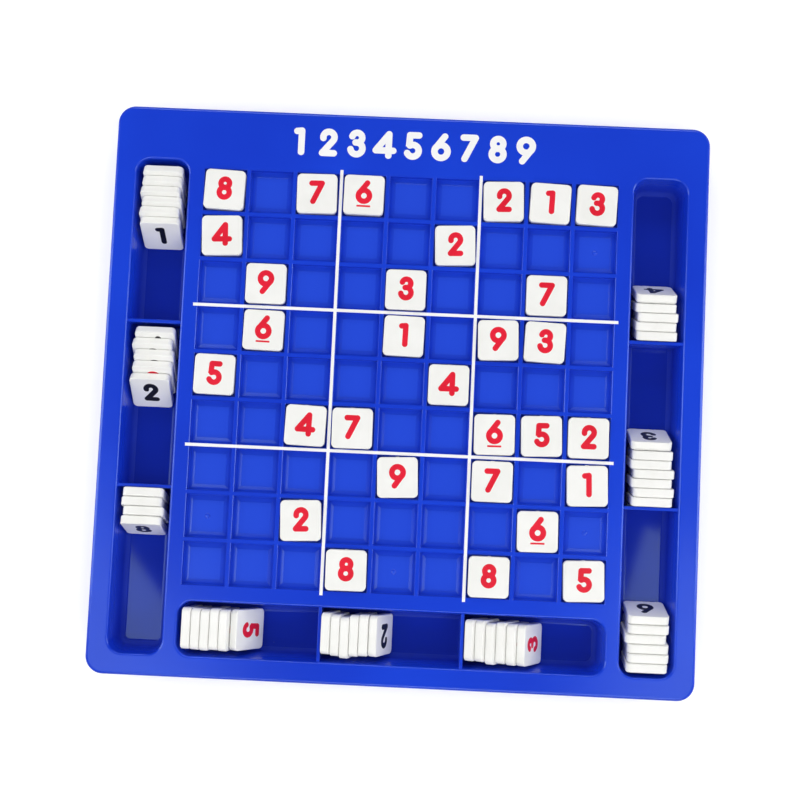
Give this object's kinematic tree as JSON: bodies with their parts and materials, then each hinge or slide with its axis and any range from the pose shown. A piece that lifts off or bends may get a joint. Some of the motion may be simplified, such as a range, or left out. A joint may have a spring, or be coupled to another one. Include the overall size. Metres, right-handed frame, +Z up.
{
  "type": "sudoku board",
  "caption": "Blue moulded tray with a grid of square cells, three storage troughs along its edges and loose white number tiles lying in cells or leaning in stacks.",
  "frame": {"origin": "on the table under the middle of the tray's outline", "axes": "+Z up from the table, +Y towards the header band, +X to the right of a player who reads the digits"},
  "size_m": [0.256, 0.2434, 0.0199],
  "materials": {
    "tray_plastic": "glossy moulded cobalt-blue plastic",
    "tile_plastic": "satin white moulded plastic with inked digits",
    "white_print": "flat white print",
    "red_ink": "red ink in the digits of the tiles' upper faces",
    "black_ink": "black ink in the digits of the tiles' lower faces"
  },
  "bodies": {
    "tray": {"tray": "tray_plastic", "box_lines": "white_print", "header_numerals": "white_print"},
    "tile_row1_col1": {"tile_row1_col1": "tile_plastic"},
    "tile_row1_col3": {"tile_row1_col3": "tile_plastic"},
    "tile_row1_col4": {"tile_row1_col4": "tile_plastic"},
    "tile_row1_col7": {"tile_row1_col7": "tile_plastic"},
    "tile_row1_col8": {"tile_row1_col8": "tile_plastic"},
    "tile_row1_col9": {"tile_row1_col9": "tile_plastic"},
    "tile_row2_col1": {"tile_row2_col1": "tile_plastic"},
    "tile_row2_col6": {"tile_row2_col6": "tile_plastic"},
    "tile_row3_col2": {"tile_row3_col2": "tile_plastic"},
    "tile_row3_col5": {"tile_row3_col5": "tile_plastic"},
    "tile_row3_col8": {"tile_row3_col8": "tile_plastic"},
    "tile_row4_col2": {"tile_row4_col2": "tile_plastic"},
    "tile_row4_col5": {"tile_row4_col5": "tile_plastic"},
    "tile_row4_col7": {"tile_row4_col7": "tile_plastic"},
    "tile_row4_col8": {"tile_row4_col8": "tile_plastic"},
    "tile_row5_col1": {"tile_row5_col1": "tile_plastic"},
    "tile_row5_col6": {"tile_row5_col6": "tile_plastic"},
    "tile_row6_col3": {"tile_row6_col3": "tile_plastic"},
    "tile_row6_col4": {"tile_row6_col4": "tile_plastic"},
    "tile_row6_col7": {"tile_row6_col7": "tile_plastic"},
    "tile_row6_col8": {"tile_row6_col8": "tile_plastic"},
    "tile_row6_col9": {"tile_row6_col9": "tile_plastic"},
    "tile_row7_col5": {"tile_row7_col5": "tile_plastic"},
    "tile_row7_col7": {"tile_row7_col7": "tile_plastic"},
    "tile_row7_col9": {"tile_row7_col9": "tile_plastic"},
    "tile_row8_col3": {"tile_row8_col3": "tile_plastic"},
    "tile_row8_col8": {"tile_row8_col8": "tile_plastic"},
    "tile_row9_col4": {"tile_row9_col4": "tile_plastic"},
    "tile_row9_col7": {"tile_row9_col7": "tile_plastic"},
    "tile_row9_col9": {"tile_row9_col9": "tile_plastic"},
    "left_upper_stack": {"left_upper_stack": "tile_plastic", "left_upper_front_tile": "tile_plastic"},
    "left_middle_stack": {"left_middle_stack": "tile_plastic", "left_middle_front_tile": "tile_plastic"},
    "left_lower_stack": {"left_lower_stack": "tile_plastic", "left_lower_front_tile": "tile_plastic"},
    "right_upper_stack": {"right_upper_stack": "tile_plastic", "right_upper_front_tile": "tile_plastic"},
    "right_middle_stack": {"right_middle_stack": "tile_plastic", "right_middle_front_tile": "tile_plastic"},
    "right_lower_stack": {"right_lower_stack": "tile_plastic", "right_lower_front_tile": "tile_plastic"},
    "bottom_left_stack": {"bottom_left_stack": "tile_plastic", "bottom_left_front_tile": "tile_plastic"},
    "bottom_middle_stack": {"bottom_middle_stack": "tile_plastic", "bottom_middle_front_tile": "tile_plastic"},
    "bottom_right_stack": {"bottom_right_stack": "tile_plastic", "bottom_right_front_tile": "tile_plastic"}
  },
  "joints": [
    {"name": "tile_row1_col1_lift", "type": "slide", "parent": "tray", "child": "tile_row1_col1", "axis": [0, 0, 1], "range_m": [0, 0.03]},
    {"name": "tile_row1_col3_lift", "type": "slide", "parent": "tray", "child": "tile_row1_col3", "axis": [0, 0, 1], "range_m": [0, 0.03]},
    {"name": "tile_row1_col4_lift", "type": "slide", "parent": "tray", "child": "tile_row1_col4", "axis": [0, 0, 1], "range_m": [0, 0.03]},
    {"name": "tile_row1_col7_lift", "type": "slide", "parent": "tray", "child": "tile_row1_col7", "axis": [0, 0, 1], "range_m": [0, 0.03]},
    {"name": "tile_row1_col8_lift", "type": "slide", "parent": "tray", "child": "tile_row1_col8", "axis": [0, 0, 1], "range_m": [0, 0.03]},
    {"name": "tile_row1_col9_lift", "type": "slide", "parent": "tray", "child": "tile_row1_col9", "axis": [0, 0, 1], "range_m": [0, 0.03]},
    {"name": "tile_row2_col1_lift", "type": "slide", "parent": "tray", "child": "tile_row2_col1", "axis": [0, 0, 1], "range_m": [0, 0.03]},
    {"name": "tile_row2_col6_lift", "type": "slide", "parent": "tray", "child": "tile_row2_col6", "axis": [0, 0, 1], "range_m": [0, 0.03]},
    {"name": "tile_row3_col2_lift", "type": "slide", "parent": "tray", "child": "tile_row3_col2", "axis": [0, 0, 1], "range_m": [0, 0.03]},
    {"name": "tile_row3_col5_lift", "type": "slide", "parent": "tray", "child": "tile_row3_col5", "axis": [0, 0, 1], "range_m": [0, 0.03]},
    {"name": "tile_row3_col8_lift", "type": "slide", "parent": "tray", "child": "tile_row3_col8", "axis": [0, 0, 1], "range_m": [0, 0.03]},
    {"name": "tile_row4_col2_lift", "type": "slide", "parent": "tray", "child": "tile_row4_col2", "axis": [0, 0, 1], "range_m": [0, 0.03]},
    {"name": "tile_row4_col5_lift", "type": "slide", "parent": "tray", "child": "tile_row4_col5", "axis": [0, 0, 1], "range_m": [0, 0.03]},
    {"name": "tile_row4_col7_lift", "type": "slide", "parent": "tray", "child": "tile_row4_col7", "axis": [0, 0, 1], "range_m": [0, 0.03]},
    {"name": "tile_row4_col8_lift", "type": "slide", "parent": "tray", "child": "tile_row4_col8", "axis": [0, 0, 1], "range_m": [0, 0.03]},
    {"name": "tile_row5_col1_lift", "type": "slide", "parent": "tray", "child": "tile_row5_col1", "axis": [0, 0, 1], "range_m": [0, 0.03]},
    {"name": "tile_row5_col6_lift", "type": "slide", "parent": "tray", "child": "tile_row5_col6", "axis": [0, 0, 1], "range_m": [0, 0.03]},
    {"name": "tile_row6_col3_lift", "type": "slide", "parent": "tray", "child": "tile_row6_col3", "axis": [0, 0, 1], "range_m": [0, 0.03]},
    {"name": "tile_row6_col4_lift", "type": "slide", "parent": "tray", "child": "tile_row6_col4", "axis": [0, 0, 1], "range_m": [0, 0.03]},
    {"name": "tile_row6_col7_lift", "type": "slide", "parent": "tray", "child": "tile_row6_col7", "axis": [0, 0, 1], "range_m": [0, 0.03]},
    {"name": "tile_row6_col8_lift", "type": "slide", "parent": "tray", "child": "tile_row6_col8", "axis": [0, 0, 1], "range_m": [0, 0.03]},
    {"name": "tile_row6_col9_lift", "type": "slide", "parent": "tray", "child": "tile_row6_col9", "axis": [0, 0, 1], "range_m": [0, 0.03]},
    {"name": "tile_row7_col5_lift", "type": "slide", "parent": "tray", "child": "tile_row7_col5", "axis": [0, 0, 1], "range_m": [0, 0.03]},
    {"name": "tile_row7_col7_lift", "type": "slide", "parent": "tray", "child": "tile_row7_col7", "axis": [0, 0, 1], "range_m": [0, 0.03]},
    {"name": "tile_row7_col9_lift", "type": "slide", "parent": "tray", "child": "tile_row7_col9", "axis": [0, 0, 1], "range_m": [0, 0.03]},
    {"name": "tile_row8_col3_lift", "type": "slide", "parent": "tray", "child": "tile_row8_col3", "axis": [0, 0, 1], "range_m": [0, 0.03]},
    {"name": "tile_row8_col8_lift", "type": "slide", "parent": "tray", "child": "tile_row8_col8", "axis": [0, 0, 1], "range_m": [0, 0.03]},
    {"name": "tile_row9_col4_lift", "type": "slide", "parent": "tray", "child": "tile_row9_col4", "axis": [0, 0, 1], "range_m": [0, 0.03]},
    {"name": "tile_row9_col7_lift", "type": "slide", "parent": "tray", "child": "tile_row9_col7", "axis": [0, 0, 1], "range_m": [0, 0.03]},
    {"name": "tile_row9_col9_lift", "type": "slide", "parent": "tray", "child": "tile_row9_col9", "axis": [0, 0, 1], "range_m": [0, 0.03]},
    {"name": "left_upper_stack_lift", "type": "slide", "parent": "tray", "child": "left_upper_stack", "axis": [0, 0, 1], "range_m": [0, 0.03]},
    {"name": "left_middle_stack_lift", "type": "slide", "parent": "tray", "child": "left_middle_stack", "axis": [0, 0, 1], "range_m": [0, 0.03]},
    {"name": "left_lower_stack_lift", "type": "slide", "parent": "tray", "child": "left_lower_stack", "axis": [0, 0, 1], "range_m": [0, 0.03]},
    {"name": "right_upper_stack_lift", "type": "slide", "parent": "tray", "child": "right_upper_stack", "axis": [0, 0, 1], "range_m": [0, 0.03]},
    {"name": "right_middle_stack_lift", "type": "slide", "parent": "tray", "child": "right_middle_stack", "axis": [0, 0, 1], "range_m": [0, 0.03]},
    {"name": "right_lower_stack_lift", "type": "slide", "parent": "tray", "child": "right_lower_stack", "axis": [0, 0, 1], "range_m": [0, 0.03]},
    {"name": "bottom_left_stack_lift", "type": "slide", "parent": "tray", "child": "bottom_left_stack", "axis": [0, 0, 1], "range_m": [0, 0.03]},
    {"name": "bottom_middle_stack_lift", "type": "slide", "parent": "tray", "child": "bottom_middle_stack", "axis": [0, 0, 1], "range_m": [0, 0.03]},
    {"name": "bottom_right_stack_lift", "type": "slide", "parent": "tray", "child": "bottom_right_stack", "axis": [0, 0, 1], "range_m": [0, 0.03]}
  ]
}
